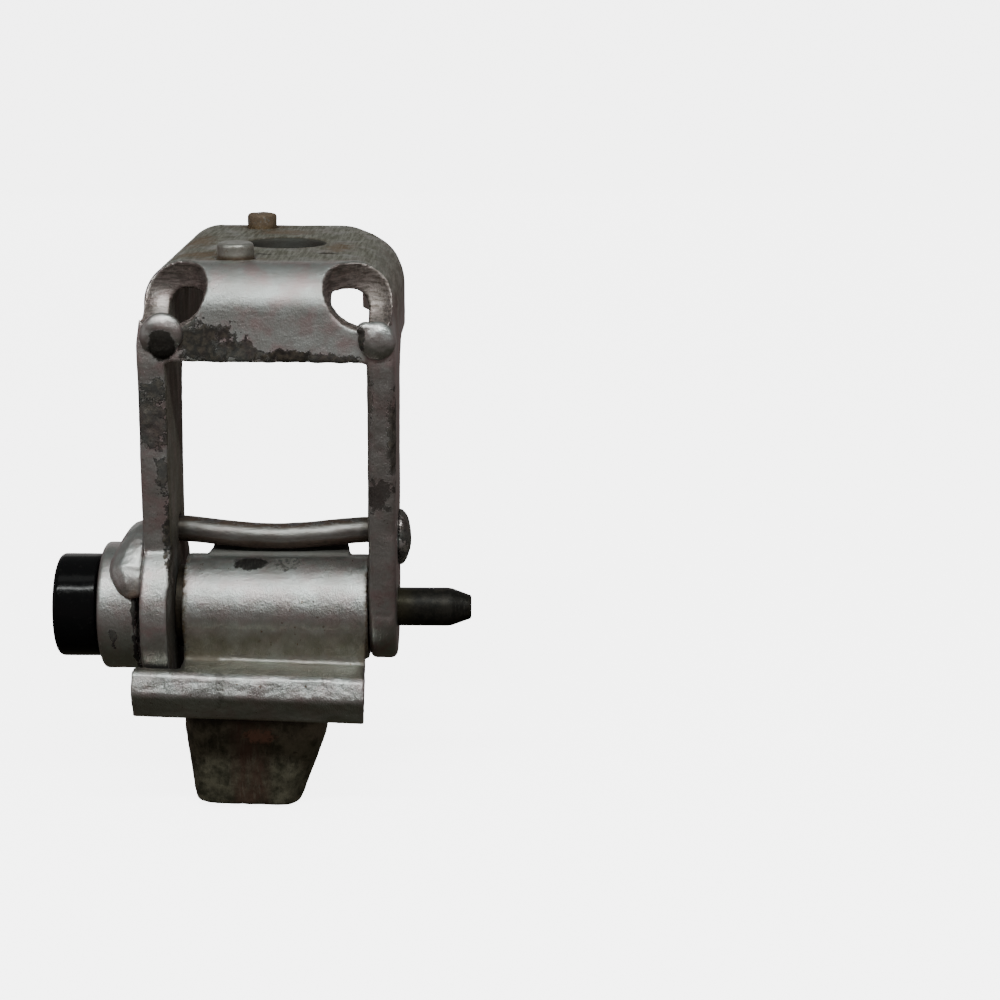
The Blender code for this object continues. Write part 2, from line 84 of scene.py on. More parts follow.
# ---------------------------------------------------------------- repeatable noise

def lattice_value(cells, seed):
    """A repeatable random number from -1 to 1 for each whole-number cell."""
    mixed = (cells[:, 0] * 73856093) ^ (cells[:, 1] * 19349663) ^ (cells[:, 2] * 83492791) ^ (seed * 40503)
    mixed = (mixed & 0xFFFFFFFF)
    mixed = ((mixed ^ (mixed >> 15)) * 2246822519) & 0xFFFFFFFF
    mixed = ((mixed ^ (mixed >> 13)) * 3266489917) & 0xFFFFFFFF
    mixed = mixed ^ (mixed >> 16)
    return (mixed & 0xFFFFFF) / 0x7FFFFF - 1.0


def field(points, size, seed, octaves=3):
    """Smooth random field from about -1 to 1, its features about size mm across."""
    total = np.zeros(len(points))
    weight, reach = 1.0, 0.0
    for octave in range(octaves):
        scaled = points / np.asarray(size) * 2 ** octave
        low = np.floor(scaled).astype(np.int64)
        share = scaled - low
        share = share * share * (3 - 2 * share)
        for corner in itertools.product((0, 1), repeat=3):
            shares = np.where(np.array(corner) == 1, share, 1 - share).prod(axis=1)
            total += weight * shares * lattice_value(low + np.array(corner), seed + octave)
        reach += weight
        weight *= 0.5
    return total / reach * 1.6


def step(value, low, high):
    """0 below low, 1 above high, smooth between."""
    share = np.clip((value - low) / (high - low), 0, 1)
    return share * share * (3 - 2 * share)


def near(points, centre, radii):
    """1 at centre, falling to 0 at the ellipsoid of the given radii."""
    distance = np.linalg.norm((points - np.array(centre)) / np.array(radii), axis=1)
    return 1 - step(distance, 0.45, 1.0)


# ---------------------------------------------------------------- meshes

def link(item):
    bpy.context.scene.collection.objects.link(item)
    return item


def evaluated(item):
    """The item's mesh with its modifiers applied."""
    graph = bpy.context.evaluated_depsgraph_get()
    mesh = bpy.data.meshes.new_from_object(item.evaluated_get(graph))
    item.modifiers.clear()
    item.data = mesh
    return item


def add_ball(shape, centre, radii):
    """Ellipsoid in mm added to a bmesh."""
    made = bmesh.ops.create_uvsphere(shape, u_segments=48, v_segments=24, radius=MM)
    bmesh.ops.scale(shape, verts=made["verts"], vec=radii)
    bmesh.ops.translate(shape, verts=made["verts"], vec=Vector(centre) * MM)


def skin(name, nodes, voxel, smooth, balls=()):
    """One fine closed surface around the CAD nodes and the balls of metal, its edges softly rounded."""
    shape = bmesh.new()
    for node in nodes:
        shape.from_mesh(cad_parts[node].data)
    for centre, radii in balls:
        add_ball(shape, centre, radii)
    mesh = bpy.data.meshes.new(name)
    shape.to_mesh(mesh)
    shape.free()
    item = link(bpy.data.objects.new(name, mesh))
    remesh = item.modifiers.new("Remesh", "REMESH")
    remesh.mode = "VOXEL"
    remesh.voxel_size = voxel * MM
    soften = item.modifiers.new("Soften", "SMOOTH")
    soften.factor = 0.5
    soften.iterations = smooth
    return evaluated(item)


def read_points(mesh):
    points = np.empty(len(mesh.vertices) * 3)
    mesh.vertices.foreach_get("co", points)
    return points.reshape(-1, 3) / MM


def read_normals(mesh):
    normals = np.empty(len(mesh.vertices) * 3)
    mesh.vertex_normals.foreach_get("vector", normals)
    return normals.reshape(-1, 3)


def sculpt(item, *changes):
    """Runs each change, a function of points and normals in mm, and keeps the item in the CAD's box."""
    mesh = item.data
    low = np.array(box_before[0]) / MM
    high = np.array(box_before[1]) / MM
    for change in changes:
        points = change(read_points(mesh), read_normals(mesh))
        points = np.clip(points, low, high)
        mesh.vertices.foreach_set("co", (points * MM).ravel())
        mesh.update()
    for face in mesh.polygons:
        face.use_smooth = True
    return item


def rough(size, depth, seed, octaves=3):
    """A change that pushes the surface in and out by about depth mm."""
    def change(points, normals):
        return points + normals * (field(points, size, seed, octaves) * depth)[:, None]
    return change


def lathe(name, profile):
    """Turned piece about the pin axis, from (x, radius) pairs in mm."""
    shape = bmesh.new()
    corners = [shape.verts.new((x * MM, 0, PIN_Z * MM + radius * MM)) for x, radius in profile]
    edges = [shape.edges.new(pair) for pair in zip(corners, corners[1:])]
    bmesh.ops.spin(shape, geom=corners + edges, cent=(0, 0, PIN_Z * MM), axis=(1, 0, 0), angle=2 * math.pi,
                   steps=LATHE_STEPS, use_merge=True)
    bmesh.ops.remove_doubles(shape, verts=shape.verts, dist=0.000002)
    bmesh.ops.recalc_face_normals(shape, faces=shape.faces)
    mesh = bpy.data.meshes.new(name)
    shape.to_mesh(mesh)
    shape.free()
    return link(bpy.data.objects.new(name, mesh))


def quarter(x, radius, corner, start, count=6):
    """Rounded corner in mm about (x, radius), its points running from start - 90 degrees up to start."""
    points = []
    for index in range(count + 1):
        turn = math.radians(start - 90 * index / count)
        points.append((x + corner * math.cos(turn), radius + corner * math.sin(turn)))
    return points[::-1]


def runs(first, last, spacing):
    """Points between two (x, radius) corners, no further apart than spacing mm."""
    length = math.dist(first, last)
    count = max(1, math.ceil(length / spacing))
    return [(first[0] + (last[0] - first[0]) * n / count, first[1] + (last[1] - first[1]) * n / count)
            for n in range(count)]


def filled(profile, spacing=0.7):
    """The profile with points added along its long runs."""
    points = []
    for first, last in zip(profile, profile[1:]):
        points += runs(first, last, spacing)
    return points + [profile[-1]]


def dress(item, body, finish, node=None):
    """Puts the finish on a piece, rides it on its body and lets it stand for its CAD node."""
    item.data.materials.clear()
    item.data.materials.append(finish)
    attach(item, body)
    if node:
        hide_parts(node)
    return item


# ---------------------------------------------------------------- material nodes

class Finish:
    """Short names for building one procedural finish, in mm of the object's own frame."""

    def __init__(self, name):
        self.material = bpy.data.materials.new(name)
        self.material.use_nodes = True
        self.tree = self.material.node_tree
        self.shader = self.tree.nodes["Principled BSDF"]
        coords = self.tree.nodes.new("ShaderNodeTexCoord")
        scale = self.tree.nodes.new("ShaderNodeVectorMath")
        scale.operation = "SCALE"
        scale.inputs[3].default_value = 1 / MM
        self.tree.links.new(coords.outputs["Object"], scale.inputs[0])
        self.place = scale.outputs[0]
        geometry = self.tree.nodes.new("ShaderNodeNewGeometry")
        self.edge = geometry.outputs["Pointiness"]
        # normals in the object's own frame, so that a finish stays put when its leaf swings
        split = self.tree.nodes.new("ShaderNodeSeparateXYZ")
        self.tree.links.new(coords.outputs["Normal"], split.inputs[0])
        self.tilt = split.outputs
        where = self.tree.nodes.new("ShaderNodeSeparateXYZ")
        self.tree.links.new(self.place, where.inputs[0])
        self.at = where.outputs

    def put(self, value, socket):
        if isinstance(value, bpy.types.NodeSocket):
            self.tree.links.new(value, socket)
        else:
            socket.default_value = value

    def math(self, operation, first, second=0.0):
        node = self.tree.nodes.new("ShaderNodeMath")
        node.operation = operation
        self.put(first, node.inputs[0])
        self.put(second, node.inputs[1])
        return node.outputs[0]

    def ramp(self, value, low, high, to_low=0.0, to_high=1.0):
        node = self.tree.nodes.new("ShaderNodeMapRange")
        node.interpolation_type = "SMOOTHSTEP"
        self.put(value, node.inputs["Value"])
        for name, number in (("From Min", low), ("From Max", high), ("To Min", to_low), ("To Max", to_high)):
            node.inputs[name].default_value = number
        return node.outputs["Result"]

    def noise(self, size, seed=0, detail=3.0, roughness=0.55, warp=0.0):
        """Noise from 0 to 1 with features about size mm; size may be given for X, Y and Z apart."""
        sizes = size if isinstance(size, tuple) else (size,) * 3
        fit = self.tree.nodes.new("ShaderNodeVectorMath")
        fit.operation = "MULTIPLY_ADD"
        self.put(self.place, fit.inputs[0])
        fit.inputs[1].default_value = [1 / each for each in sizes]
        fit.inputs[2].default_value = (seed * 7.3, seed * 3.1, seed * 5.7)
        node = self.tree.nodes.new("ShaderNodeTexNoise")
        self.put(fit.outputs[0], node.inputs["Vector"])
        node.inputs["Scale"].default_value = 1.0
        node.inputs["Detail"].default_value = detail
        node.inputs["Roughness"].default_value = roughness
        node.inputs["Distortion"].default_value = warp
        return node.outputs["Fac"]

    def mix(self, share, first, second):
        node = self.tree.nodes.new("ShaderNodeMix")
        node.data_type = "RGBA"
        self.put(share, node.inputs[0])
        for value, socket in ((first, node.inputs[6]), (second, node.inputs[7])):
            self.put((*value, 1.0) if isinstance(value, tuple) else value, socket)
        return node.outputs[2]

    def blend(self, share, first, second):
        node = self.tree.nodes.new("ShaderNodeMix")
        node.data_type = "FLOAT"
        self.put(share, node.inputs[0])
        self.put(first, node.inputs[2])
        self.put(second, node.inputs[3])
        return node.outputs[0]

    def spot(self, centre, radii, ragged=0.5, size=2.5, seed=1, soft=0.25):
        """Mask that is 1 in a ragged patch about centre and 0 outside it."""
        away = self.tree.nodes.new("ShaderNodeVectorMath")
        away.operation = "SUBTRACT"
        self.put(self.place, away.inputs[0])
        away.inputs[1].default_value = centre
        fit = self.tree.nodes.new("ShaderNodeVectorMath")
        fit.operation = "MULTIPLY"
        self.put(away.outputs[0], fit.inputs[0])
        fit.inputs[1].default_value = [1 / each for each in radii]
        length = self.tree.nodes.new("ShaderNodeVectorMath")
        length.operation = "LENGTH"
        self.put(fit.outputs[0], length.inputs[0])
        uneven = self.ramp(self.noise(size, seed, 5.0, 0.65), 0.2, 0.8, ragged, -ragged)
        distance = self.math("ADD", length.outputs["Value"], uneven)
        return self.ramp(distance, 1.0 - soft, 1.0 + soft, 1.0, 0.0)

    def any(self, *masks):
        total = masks[0]
        for mask in masks[1:]:
            total = self.math("MAXIMUM", total, mask)
        return total

    def times(self, *masks):
        total = masks[0]
        for mask in masks[1:]:
            total = self.math("MULTIPLY", total, mask)
        return total

    def bump(self, height, depth, after=None):
        """Bump of a height field from 0 to 1, depth mm from lowest to highest."""
        node = self.tree.nodes.new("ShaderNodeBump")
        node.inputs["Strength"].default_value = 1.0
        node.inputs["Distance"].default_value = depth * MM
        self.put(height, node.inputs["Height"])
        if after:
            self.put(after, node.inputs["Normal"])
        return node.outputs["Normal"]

    def done(self, colour, roughness, metallic, normal=None):
        self.put(colour, self.shader.inputs["Base Color"])
        self.put(roughness, self.shader.inputs["Roughness"])
        self.put(metallic, self.shader.inputs["Metallic"])
        if normal:
            self.put(normal, self.shader.inputs["Normal"])
        return self.material


SILVER = (0.545, 0.575, 0.560)
SILVER_DULL = (0.43, 0.43, 0.41)
SILVER_WARM = (0.50, 0.40, 0.395)
GRIME = (0.045, 0.042, 0.030)
CHAR = (0.012, 0.010, 0.008)
RUST = (0.110, 0.060, 0.030)
OLIVE = (0.130, 0.128, 0.088)


def silver_paint(name, grime=(), rust=(), olive=None, grain=1.0, seed=0, extra=None, wear=0.35, warm=0.55):
    """Sprayed aluminium paint over steel.

    A rust patch is (centre, radii) and a grime patch is (centre, radii, strength). olive and extra are
    functions that add a film and further marks.
    """
    look = Finish(name)
    broad = look.noise(9.0, seed + 1, 4.0, 0.6)
    fine = look.noise(0.9, seed + 2, 3.0, 0.6)
    sand = look.noise(0.42, seed + 3, 3.0, 0.75)
    colour = look.mix(look.ramp(broad, 0.35, 0.68), SILVER, SILVER_DULL)
    colour = look.mix(look.ramp(look.noise(5.0, seed + 4, 3.0), 0.40, 0.70, 0.0, warm), colour, SILVER_WARM)
    colour = look.mix(look.ramp(fine, 0.55, 0.85, 0.0, 0.30), colour, SILVER_DULL)
    # worn edges show bright metal, hollows hold dark dirt
    bright = look.times(look.ramp(look.edge, 0.56, 0.66),
                        look.ramp(look.noise(2.0, seed + 5, 4.0), 0.35, 0.6))
    colour = look.mix(look.math("MULTIPLY", bright, wear), colour, (0.70, 0.70, 0.68))
    hollow = look.times(look.ramp(look.edge, 0.49, 0.44),
                        look.ramp(look.noise(3.0, seed + 6, 4.0), 0.25, 0.6))
    colour = look.mix(look.math("MULTIPLY", hollow, 0.75), colour, GRIME)
    pits = look.ramp(look.noise(0.55, seed + 7, 2.0, 0.5), 0.70, 0.76)
    pits = look.times(pits, look.ramp(look.noise(8.0, seed + 8, 3.0), 0.42, 0.62))
    colour = look.mix(look.math("MULTIPLY", pits, 0.75), colour, (0.09, 0.06, 0.04))
    dirty = hollow
    if olive:
        film, streaks = olive(look)
        tone = look.mix(streaks, OLIVE, (0.33, 0.33, 0.28))
        colour = look.mix(film, colour, tone)
        dirty = look.any(dirty, look.math("MULTIPLY", film, 0.6))
    for index, (centre, radii) in enumerate(rust):
        patch = look.spot(centre, radii, 0.6, 2.4, seed + 20 + index, 0.60)
        tone = look.mix(look.noise(0.8, seed + 40 + index, 4.0), RUST, (0.21, 0.145, 0.090))
        colour = look.mix(look.math("MULTIPLY", patch, 0.70), colour, tone)
        dirty = look.any(dirty, patch)
    crust = None
    for index, (centre, radii, strength) in enumerate(grime):
        patch = look.spot(centre, radii, 0.85, 2.6, seed + 60 + index, 0.22)
        patch = look.math("MULTIPLY", patch, strength)
        crust = look.any(crust, patch) if crust else patch
    if crust:
        tone = look.mix(look.ramp(look.noise(1.3, seed + 9, 4.0, 0.6), 0.40, 0.66), (0.018, 0.015, 0.011),
                        (0.085, 0.070, 0.050))
        colour = look.mix(crust, colour, tone)
        rim = look.times(look.ramp(crust, 0.05, 0.35), look.ramp(crust, 0.85, 0.45))
        colour = look.mix(look.math("MULTIPLY", rim, 0.8), colour, CHAR)
        dirty = look.any(dirty, crust)
    if extra:
        colour, dirty = extra(look, colour, dirty)
    roughness = look.blend(fine, 0.30, 0.40)
    roughness = look.blend(look.ramp(broad, 0.4, 0.7, 0.0, 0.6), roughness, 0.41)
    roughness = look.blend(dirty, roughness, 0.78)
    metallic = look.blend(dirty, 0.95, 0.70)
    normal = look.bump(sand, 0.090 * grain)
    normal = look.bump(fine, 0.060 * grain, normal)
    normal = look.bump(look.noise(2.6, seed + 10, 4.0, 0.6), 0.10 * grain, normal)
    if crust:
        height = look.times(crust, look.noise(1.3, seed + 11, 4.0, 0.6))
        normal = look.bump(height, 0.06, normal)
    return look.done(colour, roughness, metallic, normal)


def top_plate_film(look):
    """Old olive film with brush streaks on the faces that look up, thinner toward the front bend."""
    up = look.ramp(look.tilt[2], 0.55, 0.95)
    high = look.ramp(look.at[2], TOP_Z - 6.0, TOP_Z - 1.0)
    back = look.ramp(look.at[1], -6.0, 3.0)
    cover = look.ramp(look.noise(7.0, 31, 5.0, 0.65), 0.30, 0.55, 0.55, 1.0)
    side = look.ramp(look.at[0], 13.0, 22.0, 0.0, 0.8)
    side = look.times(side, look.ramp(look.at[2], TOP_Z - 22.0, TOP_Z - 6.0),
                      look.ramp(look.at[1], -7.0, 2.0))
    film = look.any(look.times(up, high, back, cover), side)
    streaks = look.ramp(look.noise((0.7, 9.0, 3.0), 32, 4.0, 0.7), 0.38, 0.68)
    return film, streaks


def bracket_detail(look, colour, dirty):
    """Painted shade on the inner faces of the arms, darker toward the barrel, the inside of the bolt hole
    darkened, and turning marks in the ball-cut corner reliefs.
    """
    # painted shade: the inner faces of the arms are darkened, most near the barrel, where the gaps beside it
    # lie in shade
    inner = look.any(look.times(look.ramp(look.tilt[0], 0.6, 0.9), look.ramp(look.at[0], -20.0, -21.5)),
                     look.times(look.ramp(look.tilt[0], -0.6, -0.9), look.ramp(look.at[0], 17.5, 19.0)))
    inner = look.times(inner, look.ramp(look.noise((6.0, 6.0, 14.0), 52, 5.0, 0.65), 0.22, 0.60, 0.55, 1.0))
    low = look.ramp(look.at[2], 46.0, 34.0)
    tone = look.mix(low, (0.175, 0.170, 0.130), (0.055, 0.045, 0.030))
    colour = look.mix(look.math("MULTIPLY", inner, 0.9), colour, tone)
    bore = look.tree.nodes.new("ShaderNodeVectorMath")
    bore.operation = "DISTANCE"
    flat = look.tree.nodes.new("ShaderNodeVectorMath")
    flat.operation = "MULTIPLY"
    look.put(look.place, flat.inputs[0])
    flat.inputs[1].default_value = (1, 1, 0)
    look.put(flat.outputs[0], bore.inputs[0])
    bore.inputs[1].default_value = (BOLT_HOLE[0], BOLT_HOLE[1], 0)
    hole = look.times(look.ramp(bore.outputs["Value"], BOLT_HOLE_R + 0.7, BOLT_HOLE_R + 0.2),
                      look.ramp(look.at[2], TOP_Z - 9.0, TOP_Z - 7.0))
    ring = look.ramp(bore.outputs["Value"], BOLT_HOLE_R + 3.4, BOLT_HOLE_R + 0.8)
    ring = look.times(ring, look.ramp(look.noise(2.4, 53, 5.0, 0.7), 0.40, 0.60),
                      look.ramp(look.at[2], TOP_Z - 1.0, TOP_Z))
    colour = look.mix(look.math("MULTIPLY", ring, 0.6), colour, (0.15, 0.125, 0.08))
    colour = look.mix(look.math("MULTIPLY", hole, 0.92), colour, (0.055, 0.055, 0.045))
    dirty = look.any(dirty, look.math("MULTIPLY", inner, 0.8), hole)
    # the paint on the front bend and flange is duller than on the barrel, so its highlight is broad
    flange = look.times(look.ramp(look.at[1], 0.0, FRONT_Y + 3.0), look.ramp(look.at[2], 76.0, 79.0))
    dirty = look.any(dirty, look.math("MULTIPLY", flange, 0.30))
    # the tip-side arm carries a duller, browner coat
    dull = look.times(look.ramp(look.at[0], 18.0, 19.6), look.ramp(look.at[2], 80.0, 74.0))
    colour = look.mix(look.math("MULTIPLY", dull, 0.30), colour, (0.20, 0.175, 0.160))
    for centre in (RELIEF_HEAD, RELIEF_TIP):
        away = look.tree.nodes.new("ShaderNodeVectorMath")
        away.operation = "DISTANCE"
        look.put(look.place, away.inputs[0])
        away.inputs[1].default_value = centre
        inside = look.ramp(away.outputs["Value"], RELIEF_R + 0.5, RELIEF_R + 0.2)
        worn = look.ramp(look.noise((3.0, 3.0, 0.55), 51, 5.0, 0.7), 0.38, 0.62)
        tone = look.mix(worn, (0.42, 0.36, 0.34), (0.12, 0.090, 0.075))
        colour = look.mix(look.math("MULTIPLY", inside, 0.75), colour, tone)
    return burnt(look, colour, dirty)


def burnt(look, colour, dirty):
    """Near-black burnt patch where the head-side corner was welded."""
    burn = look.spot(BURN, (3.0, 3.2, 3.8), 0.15, 1.6, 90, 0.10)
    tone = look.mix(look.noise(0.9, 91, 4.0, 0.6), (0.008, 0.007, 0.005), (0.034, 0.029, 0.022))
    return look.mix(look.math("MULTIPLY", burn, 0.96), colour, tone), look.any(dirty, burn)


def bracket_finish():
    grime = (
        ((-14.5, FRONT_Y, 82.4), (7.0, 3.0, 3.4), 0.92),
        ((-19.0, FRONT_Y, 85.0), (3.2, 3.0, 3.6), 0.80),
        ((-8.5, FRONT_Y, 80.4), (6.0, 3.0, 1.8), 0.85),
        ((3.5, FRONT_Y, 79.4), (6.5, 3.0, 1.3), 0.95),
        ((12.5, FRONT_Y, 79.0), (4.5, 3.0, 1.0), 0.85),
        ((-25.2, FRONT_Y, 71.5), (2.6, 2.6, 2.4), 0.85),
        ((-25.6, FRONT_Y, 64.5), (3.2, 2.6, 5.2), 0.80),
        ((-23.6, FRONT_Y, 55.0), (1.2, 2.6, 4.0), 0.75),
        ((-22.4, FRONT_Y, 42.0), (1.1, 3.0, 8.5), 0.95),
        ((25.2, FRONT_Y + 1.0, 62.0), (1.6, 3.4, 8.0), 0.95),
        ((20.0, FRONT_Y, 70.0), (0.9, 2.6, 4.0), 0.75),
        ((21.6, FRONT_Y, 50.0), (3.4, 2.6, 3.0), 0.35),
        ((10.0, 11.0, TOP_Z), (2.0, 1.0, 1.5), 0.95),
        ((-8.9, 9.0, TOP_Z), (5.5, 1.2, 1.5), 0.55),
    )
    rust = (
        ((-8.9, 56.5, TOP_Z), (6.0, 5.0, 2.0)),
        ((-17.0, 8.0, TOP_Z - 0.5), (5.0, 4.5, 3.0)),
        ((-9.0, 1.0, TOP_Z), (6.0, 2.2, 1.5)),
        ((12.0, 20.0, TOP_Z), (3.0, 7.0, 1.5)),
        ((-20.0, 30.0, TOP_Z - 1.0), (3.5, 9.0, 3.0)),
        ((-3.0, 46.0, TOP_Z), (6.0, 4.0, 1.5)),
        ((-22.4, 6.0, 37.0), (1.5, 5.0, 10.0)),
    )
    return silver_paint("bracket_paint", grime, rust, top_plate_film, 1.0, 0, bracket_detail, warm=0.90)


def knuckle_finish():
    """Forged body leaf: the two worn spots on top of the barrel, rust bleeding along its low side."""
    def extra(look, colour, dirty):
        dark = look.spot((-6.2, -3.9, 32.9), (3.7, 2.4, 2.2), 0.30, 1.6, 71, 0.12)
        tone = look.mix(look.ramp(look.noise((0.5, 2.0, 2.0), 73, 4.0, 0.7), 0.46, 0.66),
                        (0.006, 0.005, 0.004), (0.045, 0.042, 0.036))
        pale = look.spot((1.7, -3.9, 32.9), (3.0, 2.4, 2.2), 0.30, 1.4, 72, 0.12)
        bare = look.mix(look.ramp(look.noise(0.9, 79, 4.0, 0.7), 0.44, 0.56),
                        (0.030, 0.027, 0.024), (0.20, 0.195, 0.175))
        colour = look.mix(look.math("MULTIPLY", dark, 0.96), colour, tone)
        colour = look.mix(look.math("MULTIPLY", pale, 0.85), colour, bare)
        spots = look.any(dark, pale)
        # painted shade low on the barrel and in the bend above the ledge, tinted olive as a painted
        # reflection of the dark surface below
        below = look.times(look.ramp(look.at[2], PIN_Z + 2.0, PIN_Z - 5.0),
                           look.ramp(look.at[2], 13.0, 14.6))
        below = look.times(below, look.ramp(look.noise(4.0, 74, 4.0), 0.20, 0.75, 0.60, 0.9))
        colour = look.mix(below, colour, (0.17, 0.165, 0.115))
        # painted shade on the ledge top under the barrel
        ledge_shade = look.times(look.ramp(look.at[2], 11.4, 12.2), look.ramp(look.at[2], 14.6, 13.4),
                          look.ramp(look.at[1], -20.6, -19.4))
        colour = look.mix(look.math("MULTIPLY", ledge_shade, 0.55), colour, (0.20, 0.195, 0.155))
        # painted shade at the barrel's ends, in the gaps beside the arms, tinted brown
        ends = look.any(look.ramp(look.at[0], BARREL_X[0] + 1.6, BARREL_X[0] + 0.2),
                        look.ramp(look.at[0], BARREL_X[1] - 1.2, BARREL_X[1] - 0.1))
        ends = look.times(ends, look.ramp(look.at[2], 13.0, 15.0),
                          look.ramp(look.noise(1.4, 75, 4.0), 0.30, 0.62))
        colour = look.mix(look.math("MULTIPLY", ends, 0.9), colour, (0.10, 0.07, 0.035))
        # painted shade on the stop lug behind the rod
        lug_shade = look.ramp(look.at[2], PIN_Z + 10.6, PIN_Z + 11.6)
        lug_shade = look.times(lug_shade, look.ramp(look.at[1], -1.5, 0.5))
        colour = look.mix(look.math("MULTIPLY", lug_shade, 0.8), colour, (0.10, 0.10, 0.085))
        # painted shade on the downward faces along the bottom of the base
        flat = look.ramp(look.at[2], 0.9, 0.25)
        colour = look.mix(look.math("MULTIPLY", flat, 0.85), colour, (0.05, 0.045, 0.035))
        smear = look.spot((-11.4, -21.5, 12.0), (1.0, 2.6, 4.6), 0.5, 1.6, 76, 0.3)
        colour = look.mix(look.math("MULTIPLY", smear, 0.55), colour, (0.16, 0.155, 0.14))
        flecks = look.times(look.ramp(look.noise(0.8, 77, 2.0), 0.66, 0.72),
                            look.ramp(look.noise(5.0, 78), 0.45, 0.6))
        colour = look.mix(look.math("MULTIPLY", flecks, 0.7), colour, (0.12, 0.07, 0.03))
        return colour, look.any(dirty, look.math("MULTIPLY", spots, 0.7), lug_shade, flat, ends)
    rust = (((18.6, -10.0, 14.2), (1.6, 3.0, 2.2)), ((-16.0, -12.0, 13.8), (4.0, 2.0, 1.4)))
    return silver_paint("knuckle_paint", (), rust, None, 1.25, 100, extra)


def collar_finish():
    """Painted collar, clean but for one dark scratch low at the front, with painted shade on its end in the
    gap beside the arm.
    """
    grime = (
        ((-34.9, -12.8, 18.6), (0.6, 3.0, 2.0), 0.85),
        # the second patch is painted shade: a dark band round the collar's end in the gap beside the arm
        ((-30.4, 0.0, PIN_Z), (0.5, 30.0, 30.0), 0.45),
    )
    return silver_paint("collar_paint", grime, (), None, 1.0, 200)


def weld_finish(name, seed, grime=(), rust=(), extra=None):
    """Painted weld metal, finer grained than the plate and more worn."""
    return silver_paint(name, grime, rust, None, 0.7, seed, extra, 0.5)


def cap_finish():
    """Glossy black moulded cap with faint rubbed rings."""
    look = Finish("cap_black")
    rub = look.ramp(look.noise((0.25, 6.0, 6.0), 301, 4.0, 0.7), 0.50, 0.75)
    dust = look.ramp(look.noise(1.6, 302, 5.0, 0.7), 0.55, 0.8)
    colour = look.mix(look.math("MULTIPLY", dust, 0.5), (0.0045, 0.0045, 0.0048), (0.020, 0.020, 0.018))
    edge = look.ramp(look.edge, 0.54, 0.62)
    colour = look.mix(look.math("MULTIPLY", edge, 0.35), colour, (0.06, 0.06, 0.058))
    roughness = look.blend(rub, 0.14, 0.26)
    roughness = look.blend(dust, roughness, 0.42)
    normal = look.bump(look.noise((0.16, 9.0, 9.0), 303, 3.0), 0.012)
    normal = look.bump(look.noise(1.8, 304, 3.0), 0.02, normal)
    look.shader.inputs["Specular IOR Level"].default_value = 0.12
    return look.done(colour, roughness, 0.0, normal)


def pin_finish():
    """Black oiled steel with fine turning marks, rubbed brighter at the taper."""
    look = Finish("pin_black_oxide")
    mottled = look.noise(2.2, 311, 5.0, 0.65)
    colour = look.mix(look.ramp(mottled, 0.35, 0.7), (0.013, 0.0125, 0.011), (0.032, 0.029, 0.024))
    rubbed = look.times(look.ramp(look.noise((0.5, 2.5, 2.5), 312, 4.0, 0.7), 0.52, 0.72),
                        look.any(look.ramp(look.edge, 0.52, 0.58),
                                 look.ramp(look.at[0], 34.0, 41.0, 0.0, 0.5)))
    colour = look.mix(look.math("MULTIPLY", rubbed, 0.7), colour, (0.13, 0.125, 0.11))
    greasy = look.ramp(look.at[0], 30.0, 26.0)
    colour = look.mix(look.math("MULTIPLY", greasy, 0.6), colour, (0.055, 0.050, 0.030))
    roughness = look.blend(look.noise(1.2, 313, 4.0), 0.34, 0.56)
    normal = look.bump(look.noise((0.14, 14.0, 14.0), 314, 2.0), 0.02)
    normal = look.bump(look.noise(1.1, 315, 4.0, 0.65), 0.05, normal)
    look.shader.inputs["Specular IOR Level"].default_value = 0.16
    return look.done(colour, roughness, 0.4, normal)


def foot_finish():
    """Bare forged steel: dark olive scale, a reddish band down the middle and a coppery rub."""
    look = Finish("foot_scale")
    mottled = look.noise(3.2, 321, 6.0, 0.68)
    colour = look.mix(look.ramp(mottled, 0.34, 0.66), (0.070, 0.071, 0.048), (0.230, 0.222, 0.158))
    red = look.ramp(look.math("ABSOLUTE", look.math("SUBTRACT", look.at[0], -6.6)), 2.2, 5.4, 1.0, 0.0)
    red = look.times(red, look.ramp(look.noise((2.0, 2.0, 9.0), 322, 4.0), 0.25, 0.6))
    colour = look.mix(look.math("MULTIPLY", red, 0.85), colour, (0.135, 0.082, 0.062))
    copper = look.spot((-4.2, -10.5, -4.4), (3.2, 3.0, 1.5), 0.6, 1.5, 323, 0.35)
    colour = look.mix(look.math("MULTIPLY", copper, 0.8), colour, (0.34, 0.19, 0.13))
    pale = look.times(look.ramp(look.at[0], 0.0, 6.0), look.ramp(look.noise(2.6, 328, 4.0), 0.35, 0.6))
    colour = look.mix(look.math("MULTIPLY", pale, 0.6), colour, (0.27, 0.255, 0.185))
    streak = look.ramp(look.noise((0.8, 0.8, 6.0), 324, 5.0, 0.7), 0.52, 0.70)
    colour = look.mix(look.math("MULTIPLY", streak, 0.55), colour, (0.26, 0.25, 0.19))
    black = look.ramp(look.noise(2.2, 325, 5.0, 0.7), 0.58, 0.70)
    colour = look.mix(look.math("MULTIPLY", black, 0.6), colour, (0.022, 0.021, 0.015))
    # painted shadow along the top of the foot, under the ledge
    rim = look.ramp(look.at[2], -2.6, -0.6)
    colour = look.mix(look.math("MULTIPLY", rim, 0.8), colour, (0.022, 0.020, 0.014))
    edge = look.ramp(look.edge, 0.53, 0.60)
    colour = look.mix(look.math("MULTIPLY", edge, 0.45), colour, (0.27, 0.26, 0.21))
    roughness = look.blend(mottled, 0.40, 0.66)
    normal = look.bump(look.noise(0.4, 326, 4.0, 0.7), 0.05)
    normal = look.bump(look.noise((0.9, 0.9, 3.5), 327, 5.0, 0.65), 0.14, normal)
    return look.done(colour, roughness, 0.7, normal)


